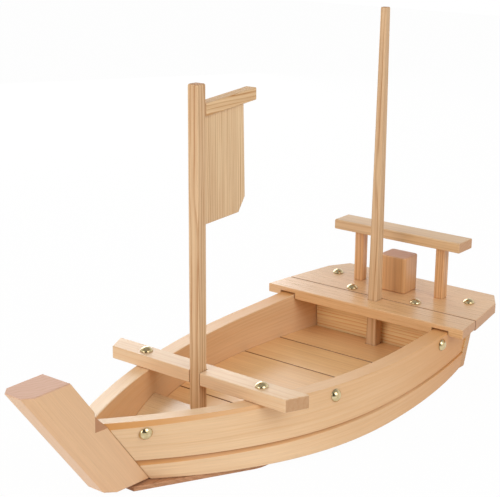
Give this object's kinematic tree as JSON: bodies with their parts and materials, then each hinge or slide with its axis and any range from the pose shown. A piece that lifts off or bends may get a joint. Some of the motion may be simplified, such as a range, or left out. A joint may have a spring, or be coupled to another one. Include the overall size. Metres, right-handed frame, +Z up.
{
  "type": "sushi boat",
  "caption": "Wooden serving boat with a raked prow post, open hold, bow platform, thwart, railed stern deck, lift-out fore mast with board sail, lift-out aft mast and brass tacks.",
  "frame": {"origin": "on the table under the middle of the whole length, on the centre plane", "axes": "+X towards the prow, +Y to port, +Z up"},
  "size_m": [0.5004, 0.2028, 0.3107],
  "materials": {
    "pale_fir": "satin bare wood",
    "warm_fir": "satin bare wood",
    "mast_fir": "satin bare wood",
    "brass": "polished"
  },
  "bodies": {
    "hull": {"stem_post": "pale_fir", "port_side_plank": "pale_fir", "starboard_side_plank": "pale_fir", "bottom_board": "warm_fir", "floor_plank_1": "warm_fir", "floor_plank_2": "warm_fir", "floor_plank_3": "warm_fir", "floor_plank_4": "warm_fir", "floor_plank_5": "warm_fir", "floor_plank_6": "warm_fir", "bow_platform": "pale_fir", "transom": "warm_fir", "thwart": "pale_fir", "deck_beam": "pale_fir", "rear_deck": "pale_fir", "rail_post_port": "mast_fir", "rail_post_starboard": "mast_fir", "stern_rail": "pale_fir", "deck_block": "warm_fir", "hull_tack_port_1": "brass", "hull_tack_port_2": "brass", "hull_tack_port_3": "brass", "hull_tack_starboard_1": "brass", "hull_tack_starboard_2": "brass", "hull_tack_starboard_3": "brass", "thwart_tack_port": "brass", "thwart_tack_starboard": "brass", "deck_tack_fore_port": "brass", "deck_tack_fore_starboard": "brass", "deck_tack_aft_port": "brass", "deck_tack_aft_starboard": "brass"},
    "fore_rig": {"front_mast": "mast_fir", "sail_yard": "mast_fir", "sail_board": "mast_fir"},
    "aft_rig": {"rear_mast": "mast_fir"}
  },
  "joints": [
    {"name": "fore_mast_lift", "type": "slide", "parent": "hull", "child": "fore_rig", "axis": [0, 0, 1], "range_m": [0, 0.055]},
    {"name": "aft_mast_lift", "type": "slide", "parent": "hull", "child": "aft_rig", "axis": [0, 0, 1], "range_m": [0, 0.05]}
  ]
}
